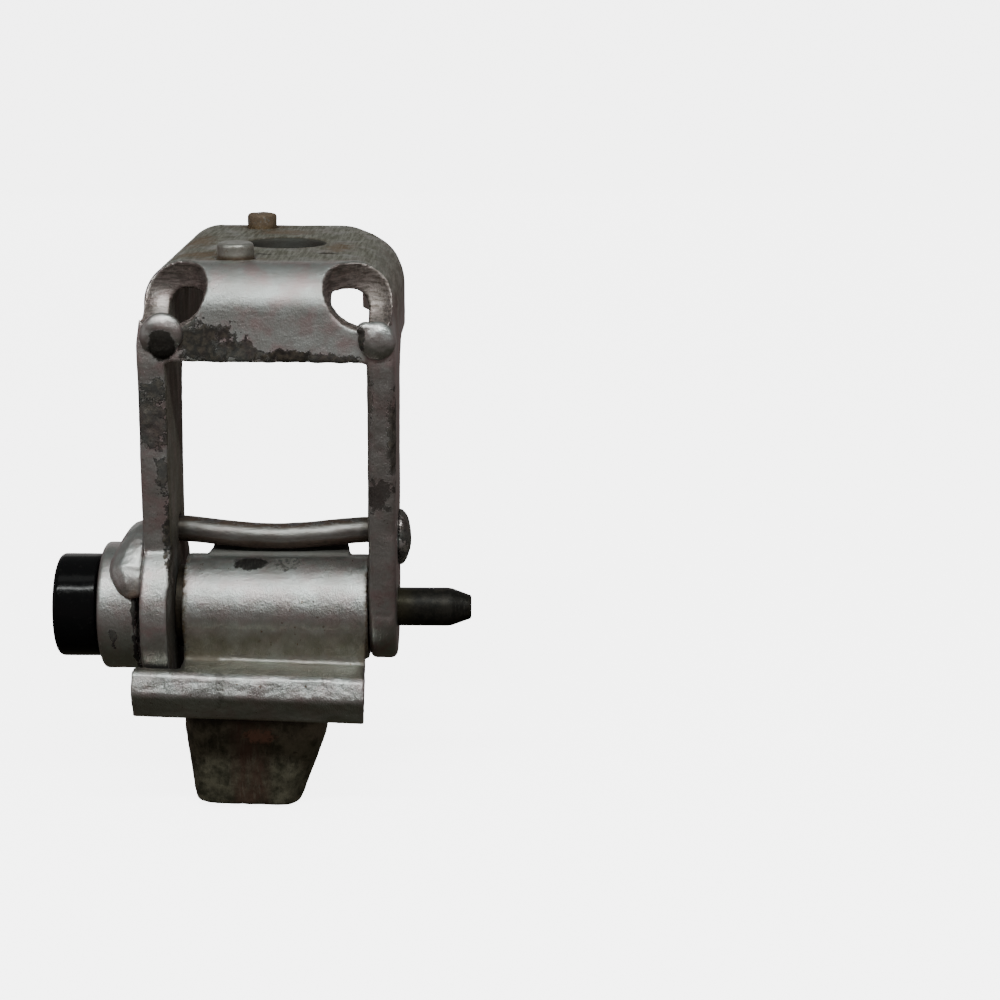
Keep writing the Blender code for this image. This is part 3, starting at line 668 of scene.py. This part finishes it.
def rod_finish():
    """Painted bar: silver on its sprayed upper side, bare and rusty below and in patches on top."""
    look = Finish("rod_paint")
    broad = look.noise((5.0, 2.5, 2.5), 331, 4.0, 0.6)
    colour = look.mix(look.ramp(broad, 0.35, 0.68), (0.28, 0.28, 0.265), (0.23, 0.21, 0.20))
    top = look.ramp(look.tilt[2], -0.40, 0.05)
    patchy = look.ramp(look.noise((4.0, 1.4, 1.4), 332, 5.0, 0.7), 0.42, 0.52)
    upper = look.ramp(look.tilt[2], 0.66, 0.86)
    bare = look.any(look.math("SUBTRACT", 1.0, top), look.times(patchy, upper))
    tone = look.mix(look.noise(1.0, 333, 5.0), (0.040, 0.030, 0.022), (0.120, 0.075, 0.050))
    colour = look.mix(look.math("MULTIPLY", bare, 0.93), colour, tone)
    ends = look.any(look.ramp(look.at[0], -19.6, -21.8), look.ramp(look.at[0], 16.6, 19.2))
    colour = look.mix(look.math("MULTIPLY", ends, 0.7), colour, (0.06, 0.05, 0.035))
    roughness = look.blend(bare, look.blend(broad, 0.34, 0.48), 0.68)
    metallic = look.blend(bare, 0.88, 0.45)
    normal = look.bump(look.noise(0.3, 334, 3.0), 0.04)
    normal = look.bump(look.noise((3.0, 1.0, 1.0), 335, 4.0, 0.65), 0.10, normal)
    return look.done(colour, roughness, metallic, normal)


def peg_finish(name, seed, worn):
    """Peg head: thin paint over brown steel, more of it gone on the rear peg."""
    look = Finish(name)
    patchy = look.ramp(look.noise(1.8, seed, 5.0, 0.7), 0.62 - 0.35 * worn, 0.74 - 0.35 * worn)
    colour = look.mix(look.noise(1.0, seed + 1, 4.0), (0.42, 0.42, 0.39), (0.29, 0.285, 0.25))
    tone = look.mix(look.noise(0.8, seed + 2, 5.0), (0.085, 0.060, 0.035), (0.20, 0.13, 0.075))
    colour = look.mix(look.math("MULTIPLY", patchy, 0.92), colour, tone)
    base = look.ramp(look.at[2], TOP_Z + 1.1, TOP_Z + 0.1)
    colour = look.mix(look.math("MULTIPLY", base, 0.75), colour, (0.13, 0.085, 0.04))
    roughness = look.blend(patchy, 0.44, 0.74)
    metallic = look.blend(patchy, 0.8, 0.35)
    normal = look.bump(look.noise(0.45, seed + 3, 4.0, 0.7), 0.09)
    return look.done(colour, roughness, metallic, normal)


def washer_finish():
    """Oily dark steel washer."""
    look = Finish("washer_steel")
    mottled = look.noise(1.5, 361, 5.0, 0.65)
    colour = look.mix(mottled, (0.016, 0.014, 0.010), (0.07, 0.055, 0.035))
    roughness = look.blend(mottled, 0.35, 0.6)
    return look.done(colour, roughness, 0.6, look.bump(look.noise(0.5, 362, 3.0), 0.04))


def bush_finish():
    """Bronze bush darkened by grease."""
    look = Finish("bush_bronze")
    mottled = look.noise(1.5, 371, 5.0, 0.65)
    colour = look.mix(mottled, (0.20, 0.12, 0.045), (0.42, 0.27, 0.11))
    roughness = look.blend(mottled, 0.30, 0.5)
    return look.done(colour, roughness, 0.9, look.bump(look.noise((0.2, 8.0, 8.0), 372, 3.0), 0.02))


# ---------------------------------------------------------------- pieces

def true_bends(points, normals):
    """Puts the rolled bends of the folded plate back on exact arcs."""
    centre_y, centre_z = FRONT_Y + BEND_R, TOP_Z - BEND_R
    inside = (points[:, 0] > HEAD_OUT_X + BEND_R + 1) & (points[:, 0] < TIP_OUT_X - BEND_R - 1)
    folds = [(1, centre_y, -1, inside)]
    behind = points[:, 1] > centre_y + 1
    folds.append((0, HEAD_OUT_X + BEND_R, -1, behind))
    folds.append((0, TIP_OUT_X - BEND_R, 1, behind & (points[:, 1] < 37)))
    for axis, centre, way, where in folds:
        off = points[:, axis] - centre
        rise = points[:, 2] - centre_z
        far = np.hypot(off, rise)
        for radius in (BEND_R, BEND_R - PLATE):
            chosen = where & (off * way > 0) & (rise > 0) & (abs(far - radius) < 0.16)
            points[chosen, axis] = centre + off[chosen] * radius / far[chosen]
            points[chosen, 2] = centre_z + rise[chosen] * radius / far[chosen]
    return points


def true_eyes(points, normals):
    """Puts the round eyes of the arms back on exact arcs."""
    for low_x, high_x, radius in ((-30, -21, HEAD_EYE_R), (18, 27, TIP_EYE_R)):
        off, rise = points[:, 1], points[:, 2] - PIN_Z
        far = np.hypot(off, rise)
        chosen = (points[:, 0] > low_x) & (points[:, 0] < high_x) & (abs(far - radius) < 0.12) & (rise < 14)
        points[chosen, 1] = off[chosen] * radius / far[chosen]
        points[chosen, 2] = PIN_Z + rise[chosen] * radius / far[chosen]
    return points


def round_arm_edges(points, normals):
    """Rounds the long edges of the arms and their eyes, more on the tip-side arm."""
    arms = ((HEAD_OUT_X, HEAD_EYE_R, 0.7, 37.0), (TIP_OUT_X - PLATE, TIP_EYE_R, 1.5, PIN_Z))
    for low_x, radius, corner, eye_top in arms:
        middle = low_x + PLATE / 2
        over = points[:, 0] - middle
        across = abs(over) - (PLATE / 2 - corner)
        low = points[:, 2] < eye_top
        far = np.hypot(points[:, 1], points[:, 2] - PIN_Z)
        out = np.where(low, far - (radius - corner), FRONT_Y + corner - points[:, 1])
        # the outer edge stays round up to the corner weld, the inner one only up to the flange
        top = np.where(over * low_x > 0, 88.0, 80.0)
        chosen = (abs(over) < PLATE / 2 + 0.3) & (across > 0) & (out > 0) & (points[:, 2] < top)
        chosen &= low | (points[:, 1] < 0)
        length = np.hypot(across, out)
        chosen &= length > corner
        share = np.where(chosen, corner / np.maximum(length, 1e-6), 1.0)
        rounded = middle + np.sign(over) * (PLATE / 2 - corner + across * share)
        points[:, 0] = np.where(chosen, rounded, points[:, 0])
        moved = out * (1 - share)
        round_eye = chosen & low
        ratio = np.where(round_eye, (far - moved) / np.maximum(far, 1e-6), 1.0)
        points[:, 2] = PIN_Z + (points[:, 2] - PIN_Z) * ratio
        points[:, 1] = np.where(round_eye, points[:, 1] * ratio, points[:, 1] + np.where(chosen, moved, 0.0))
    return points


def lean_corners(points, normals):
    """Leans the outer faces inward beside the corner reliefs, so the welded corners end without a horn."""
    high = step(points[:, 2], 81.0, 87.0) * (1 - step(points[:, 1], -4.0, 2.0))
    for outer, inward in ((HEAD_OUT_X, 1), (TIP_OUT_X, -1)):
        near_face = np.clip(1 - abs(points[:, 0] - outer) / 3.0, 0, 1)
        points[:, 0] += inward * 0.7 * high * near_face
    return points


def flame_cut_edges(points, normals):
    """Uneven cut edges on the arms: a burr on the head arm, chips on the tip arm, small gouges on both."""
    x, y, z = points.T
    arm = 1 - step(z, 74.0, 80.0)
    front = 1 - step(y, FRONT_Y + 1.0, FRONT_Y + 3.5)
    wave = field(points, (30, 30, 9), 501, 3)
    points[:, 0] += wave * 0.16 * arm * front
    points[:, 1] += (0.10 + 0.10 * field(points, (3.5, 9, 6), 502, 2)) * arm * front
    inner = np.exp(-((x - (HEAD_OUT_X + PLATE)) / 0.7) ** 2) * (1 - step(y, FRONT_Y + 0.6, FRONT_Y + 1.8))
    tall = step(z, 27.0, 31.0) * (1 - step(z, 47.0, 52.0))
    burr = np.maximum(0.1, field(points, (2.0, 2.0, 1.6), 503, 3))
    points[:, 0] += inner * tall * burr * 0.75
    outer = np.exp(-((x - TIP_OUT_X) / 0.9) ** 2) * (1 - step(y, FRONT_Y + 1.0, FRONT_Y + 3.0))
    high = step(z, 53.0, 56.0) * (1 - step(z, 68.0, 71.0))
    chip = np.maximum(0.0, 0.35 + field(points, (2.5, 2.5, 2.2), 504, 3))
    points[:, 0] -= outer * high * chip * 0.9
    left = near(points, (-25.4, FRONT_Y, 66.0), (3.2, 1.6, 10.0))
    right = near(points, (21.5, FRONT_Y, 60.0), (3.2, 1.6, 12.0))
    gouge = np.maximum(0.0, field(points, (2.2, 2.2, 2.2), 505, 3) - 0.15)
    points[:, 1] += (left + 0.6 * right) * gouge * 0.28
    return points


def bracket_marks(points, normals):
    """Dents and crust on the front flange, and the ragged cut along its low edge."""
    crust = near(points, (-14.0, FRONT_Y, 82.5), (9.0, 1.5, 5.0))
    crust += near(points, (6.0, FRONT_Y, 79.3), (13.0, 1.5, 2.2))
    lumps = field(points, 1.7, 511, 4)
    points = points + normals * (np.clip(crust, 0, 1) * lumps * 0.07)[:, None]
    flange = (points[:, 1] < FRONT_Y + 5) & (abs(points[:, 0] - MIDDLE_X) < 22)
    crease = np.exp(-((points[:, 2] - 90.8) / 2.0) ** 2) * flange * (normals[:, 1] < 0)
    points = points + normals * (crease * 0.14)[:, None]
    edge = (1 - step(points[:, 2], 78.2, 79.6)) * step(points[:, 2], 76.5, 77.5)
    edge = edge * (abs(points[:, 0] - MIDDLE_X) < 18) * (points[:, 1] < -4)
    points[:, 2] += edge * field(points, (2.4, 6, 6), 512, 3) * 0.20
    return points


def build_bracket(finish):
    item = skin("bracket_skin", ["door_bracket"], 0.46, 5)
    sculpt(item, true_bends, true_eyes, round_arm_edges, lean_corners, flame_cut_edges, bracket_marks,
           rough(7.0, 0.05, 513), rough(1.6, 0.018, 514))
    return dress(item, "door_leaf", finish, "door_bracket")


def true_barrel(points, normals):
    """Puts the barrel back on its exact radius."""
    far = np.hypot(points[:, 1], points[:, 2] - PIN_Z)
    inside = (points[:, 0] > BARREL_X[0] + 0.8) & (points[:, 0] < BARREL_X[1] - 0.8)
    chosen = inside & (abs(far - BARREL_R) < 0.12)
    ratio = BARREL_R / far[chosen]
    points[chosen, 1] *= ratio
    points[chosen, 2] = PIN_Z + (points[chosen, 2] - PIN_Z) * ratio
    return points


def forged(points, normals):
    """Forging scale and hammer marks on the base and its nose, light on the machined barrel."""
    low = 1 - step(points[:, 2], 12.8, 14.4)
    lumps = field(points, (4.5, 2.2, 2.2), 521, 3) * 0.11 + field(points, 1.3, 522, 3) * 0.045
    skin_depth = field(points, 6.0, 523, 3) * 0.035 + field(points, 1.1, 524, 2) * 0.014
    return points + normals * (low * lumps + (1 - low) * skin_depth)[:, None]


def build_knuckle(finish):
    item = skin("knuckle_skin", ["knuckle"], 0.34, 4)
    sculpt(item, true_barrel, forged)
    return dress(item, "body_leaf", finish, "knuckle")


def build_foot(finish):
    def worn(points, normals):
        lumps = field(points, (4.0, 4.0, 6.0), 531, 4) * 0.16 + field(points, 1.2, 532, 3) * 0.05
        return points + normals * lumps[:, None]
    item = skin("foot_skin", ["foot"], 0.32, 2)
    sculpt(item, worn)
    return dress(item, "body_leaf", finish, "foot")


def build_cap(finish):
    out_x, in_x = -48.4, -39.2
    profile = [(in_x, 7.3), (in_x, CAP_R - 0.35), (in_x - 0.1, CAP_R - 0.1), (in_x - 0.4, CAP_R)]
    profile += quarter(out_x + 1.25, CAP_R - 1.25, 1.25, 180)
    profile += [(out_x, 4.0), (out_x + 0.02, 0.0)]
    item = lathe("cap_skin", filled(profile))
    sculpt(item, rough(5.0, 0.018, 541, 2))
    return dress(item, "door_leaf", finish, "pin_cap")


def build_collar(finish):
    out_x, in_x = -38.4, -29.9
    profile = [(in_x, 4.5), (in_x, COLLAR_R - 0.5), (in_x - 0.15, COLLAR_R - 0.15), (in_x - 0.5, COLLAR_R)]
    profile += quarter(out_x + 1.1, COLLAR_R - 1.1, 1.1, 180)
    profile += [(out_x, 10.6), (out_x, 4.5)]
    item = lathe("collar_skin", filled(profile, 0.5))
    sculpt(item, rough(5.0, 0.05, 551, 3))
    return dress(item, "door_leaf", finish, "pin_collar")


def build_pin(finish):
    tip_x, taper_x, tip_r = 41.4, 36.7, 2.7
    profile = [(tip_x, 0.0), (tip_x, tip_r - 0.5), (tip_x - 0.15, tip_r - 0.15), (tip_x - 0.5, tip_r)]
    profile += [(taper_x + 0.5, PIN_R - 0.16), (taper_x - 0.4, PIN_R - 0.02), (taper_x - 1.0, PIN_R)]
    profile += [(-38.9, PIN_R), (-38.9, 7.0), (-45.8, 7.0), (-46.2, 6.6), (-46.2, 0.0)]
    item = lathe("pin_skin", filled(profile, 0.6))
    sculpt(item, rough(3.0, 0.02, 561, 3))
    return dress(item, "door_leaf", finish, "pivot_pin")


def build_rod(finish):
    """Stop rod as one smooth bent bar, its paint and surface a little lumpy."""
    level, sagged = Vector((0, 4.1, PIN_Z + 16.3)), Vector((0, 1.9, PIN_Z + 15.3))
    inner_head, inner_tip = HEAD_OUT_X + PLATE, TIP_OUT_X - PLATE
    stations = 90
    curve = bpy.data.curves.new("rod_path", "CURVE")
    curve.dimensions = "3D"
    curve.bevel_depth = ROD_R * MM
    curve.bevel_resolution = 12
    curve.use_fill_caps = True
    spline = curve.splines.new("POLY")
    spline.points.add(stations)
    for index, point in enumerate(spline.points):
        x = HEAD_OUT_X + 0.1 + (TIP_OUT_X - HEAD_OUT_X - 0.2) * index / stations
        share = min(1.0, max(0.0, (x - inner_head) / (inner_tip - inner_head)))
        middle = level.lerp(sagged, math.sin(math.pi * share) ** 1.5)
        point.co = (x * MM, middle.y * MM, middle.z * MM, 1.0)
    holder = link(bpy.data.objects.new("rod_path", curve))
    graph = bpy.context.evaluated_depsgraph_get()
    mesh = bpy.data.meshes.new_from_object(holder.evaluated_get(graph))
    bpy.data.objects.remove(holder, do_unlink=True)
    shape = bmesh.new()
    shape.from_mesh(mesh)
    bmesh.ops.remove_doubles(shape, verts=shape.verts, dist=0.000005)
    bmesh.ops.recalc_face_normals(shape, faces=shape.faces)
    shape.to_mesh(mesh)
    shape.free()
    item = link(bpy.data.objects.new("rod_skin", mesh))
    sculpt(item, rough((5.0, 2.0, 2.0), 0.07, 571, 3))
    return dress(item, "door_leaf", finish, "stop_rod")


def swollen(depth):
    """A change that swells a weld by depth mm, so that it fuses with the steel beside it."""
    def change(points, normals):
        return points + normals * depth
    return change


def build_welds():
    bead = weld_finish("collar_weld_paint", 400, (((-31.6, -10.6, 30.2), (0.8, 1.2, 0.8), 0.95),),
                       (((-30.0, -13.5, 27.0), (2.5, 2.5, 3.0)),))
    item = skin("collar_weld_skin", ["collar_weld"], 0.30, 10)
    sculpt(item, swollen(0.42), rough((3.0, 3.0, 3.0), 0.13, 581, 3), rough(0.9, 0.02, 582, 2))
    dress(item, "door_leaf", bead, "collar_weld")

    head = weld_finish("head_corner_weld_paint", 420, (), (), burnt)
    face = FRONT_Y
    lumps = (
        ((-22.6, face, 84.2), (4.3, 1.8, 4.3)),
        ((-22.8, face + 0.2, 81.9), (3.2, 1.7, 2.9)),
        ((-25.3, face + 0.4, 83.4), (2.3, 1.8, 3.5)),
    )
    item = skin("head_corner_weld_skin", [], 0.22, 26, lumps)

    def pitted(points, normals):
        crater = near(points, BURN, (3.0, 2.6, 3.8))
        rim = np.hypot((points[:, 0] - BURN[0]) / 2.8, (points[:, 2] - BURN[2]) / 3.5)
        groove = np.exp(-((rim - 1.0) / 0.16) ** 2) * (points[:, 1] < FRONT_Y - 0.2)
        points = points + normals * (-0.12 * groove)[:, None]
        return points + normals * (crater * (field(points, 1.4, 592, 3) * 0.16 - 0.08))[:, None]
    sculpt(item, rough(3.2, 0.14, 591, 3), pitted)
    dress(item, "door_leaf", head, "corner_weld_head_side")

    # the dark patch on this weld is painted shade in the crease along its left side
    tip = weld_finish("tip_corner_weld_paint", 440, (((18.4, -12.0, 82.8), (0.7, 2.0, 2.6), 0.9),))
    lumps = (
        ((21.8, face, 82.9), (4.0, 2.0, 4.1)),
        ((19.6, face, 85.3), (2.2, 1.4, 1.6)),
    )
    item = skin("tip_corner_weld_skin", [], 0.22, 22, lumps)
    sculpt(item, rough(3.2, 0.14, 601, 3), rough(0.8, 0.02, 602, 2))
    dress(item, "door_leaf", tip, "corner_weld_tip_side")

    rod_end = weld_finish("rod_weld_paint", 460, (((27.2, 3.0, 37.5), (1.6, 5.5, 5.5), 0.75),))
    item = skin("rod_weld_skin", ["rod_weld_tip_side"], 0.28, 6)
    sculpt(item, swollen(0.30), rough(2.2, 0.14, 611, 3))
    dress(item, "door_leaf", rod_end, "rod_weld_tip_side")


def build_pegs():
    for name, seed, worn in (("peg_front", 341, 0.15), ("peg_rear", 351, 0.9)):
        item = skin(name + "_skin", [name], 0.20, 5)
        sculpt(item, rough(1.6, 0.10, seed, 3))
        dress(item, "door_leaf", peg_finish(name + "_steel", seed, worn), name)


def build_hidden():
    """The washer and the bushes keep their CAD shape and only take a finish."""
    washer, bronze = washer_finish(), bush_finish()
    for node, finish in (("thrust_washer", washer), ("bush_head_side", bronze), ("bush_tip_side", bronze)):
        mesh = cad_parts[node].data
        mesh.materials.clear()
        mesh.materials.append(finish)


build_bracket(bracket_finish())
build_knuckle(knuckle_finish())
build_foot(foot_finish())
build_cap(cap_finish())
build_collar(collar_finish())
build_pin(pin_finish())
build_rod(rod_finish())
build_welds()
build_pegs()
build_hidden()


# ---------------------------------------------------------------- camera, light and floor

def build_camera():
    """Camera in front of the hinge, above it and to its right, looking slightly down with a little roll."""
    pitch, roll = 0.25, -0.007
    lens, sensor_width = 77.5548, 36
    side, height, distance = 47.64, 23.1, 471.85
    right = Vector((math.cos(roll), -math.sin(roll) * math.sin(pitch), -math.sin(roll) * math.cos(pitch)))
    up = Vector((math.sin(roll), math.cos(roll) * math.sin(pitch), math.cos(roll) * math.cos(pitch)))
    ahead = Vector((0, math.cos(pitch), -math.sin(pitch)))
    place = (right * side + up * height - ahead * distance + Vector((0, 0, PIN_Z))) * MM
    data = bpy.data.cameras.new("camera")
    data.sensor_width = sensor_width
    data.lens = lens
    data.clip_start = 0.01
    camera = link(bpy.data.objects.new("camera", data))
    turn = Matrix((right, up, -ahead)).transposed()
    camera.matrix_world = Matrix.Translation(place) @ turn.to_4x4()
    bpy.context.scene.camera = camera


def area_light(name, azimuth, elevation, distance, size, power, colour=(1, 1, 1)):
    """Rectangular soft light aimed at the hinge, azimuth from the front toward +X, in degrees and metres."""
    data = bpy.data.lights.new(name, "AREA")
    data.shape = "RECTANGLE"
    data.size, data.size_y = size
    data.energy = power
    data.color = colour
    lamp = link(bpy.data.objects.new(name, data))
    turn, rise = math.radians(azimuth), math.radians(elevation)
    aim = Vector((0, 0, 0.045))
    away = Vector((math.sin(turn) * math.cos(rise), -math.cos(turn) * math.cos(rise), math.sin(rise)))
    lamp.location = aim + away * distance
    lamp.rotation_euler = (-away).to_track_quat("-Z", "Y").to_euler()


def build_lights():
    area_light("key_strip", 4, 52, 0.9, (1.1, 0.07), 7.6, (0.965, 1.0, 0.985))
    area_light("overhead", 0, 76, 1.0, (0.9, 0.25), 0.8, (0.96, 1.0, 0.98))
    area_light("left_fill", -75, 20, 1.0, (0.5, 0.5), 0.25, (1.0, 0.96, 0.97))
    area_light("back_fill", 190, 12, 1.2, (0.9, 0.5), 0.7, (0.98, 1.0, 0.99))


def build_world():
    """Dim room, purple-grey around the horizon, dark olive below and grey overhead.

    The camera sees a plain pale backdrop in its place.
    """
    world = bpy.data.worlds.new("room")
    bpy.context.scene.world = world
    world.use_nodes = True
    tree = world.node_tree
    background = tree.nodes["Background"]
    coords = tree.nodes.new("ShaderNodeTexCoord")
    split = tree.nodes.new("ShaderNodeSeparateXYZ")
    tree.links.new(coords.outputs["Generated"], split.inputs[0])
    fit = tree.nodes.new("ShaderNodeMapRange")
    fit.inputs["From Min"].default_value = -1
    tree.links.new(split.outputs["Z"], fit.inputs["Value"])
    ramp = tree.nodes.new("ShaderNodeValToRGB")
    tree.links.new(fit.outputs["Result"], ramp.inputs["Fac"])
    stops = (
        (0.0, (0.040, 0.039, 0.027)),
        (0.30, (0.055, 0.051, 0.040)),
        (0.47, (0.185, 0.140, 0.139)),
        (0.60, (0.180, 0.150, 0.148)),
        (0.80, (0.150, 0.154, 0.150)),
        (1.0, (0.120, 0.126, 0.120)),
    )
    elements = ramp.color_ramp.elements
    while len(elements) < len(stops):
        elements.new(0.5)
    for element, (position, colour) in zip(elements, stops):
        element.position = position
        element.color = (*colour, 1.0)
    path = tree.nodes.new("ShaderNodeLightPath")
    seen = tree.nodes.new("ShaderNodeMix")
    seen.data_type = "RGBA"
    tree.links.new(path.outputs["Is Camera Ray"], seen.inputs[0])
    tree.links.new(ramp.outputs["Color"], seen.inputs[6])
    seen.inputs[7].default_value = (BACKDROP_GLOW,) * 3 + (1.0,)
    tree.links.new(seen.outputs[2], background.inputs["Color"])


def build_floor():
    """Plain pale floor, hidden from diffuse and glossy rays so that it throws no light on the part."""
    mesh = bpy.data.meshes.new("floor")
    shape = bmesh.new()
    bmesh.ops.create_grid(shape, x_segments=1, y_segments=1, size=20)
    shape.to_mesh(mesh)
    shape.free()
    floor = link(bpy.data.objects.new("floor", mesh))
    floor.location.z = box_before[0][2] - 0.0005
    floor.visible_glossy = False
    floor.visible_diffuse = False
    finish = bpy.data.materials.new("floor")
    finish.use_nodes = True
    shader = finish.node_tree.nodes["Principled BSDF"]
    shader.inputs["Base Color"].default_value = (0.9, 0.9, 0.9, 1)
    shader.inputs["Roughness"].default_value = 0.9
    shader.inputs["Specular IOR Level"].default_value = 0.0
    shader.inputs["Emission Color"].default_value = (1, 1, 1, 1)
    shader.inputs["Emission Strength"].default_value = FLOOR_GLOW
    mesh.materials.append(finish)


build_camera()
build_lights()
build_world()
build_floor()
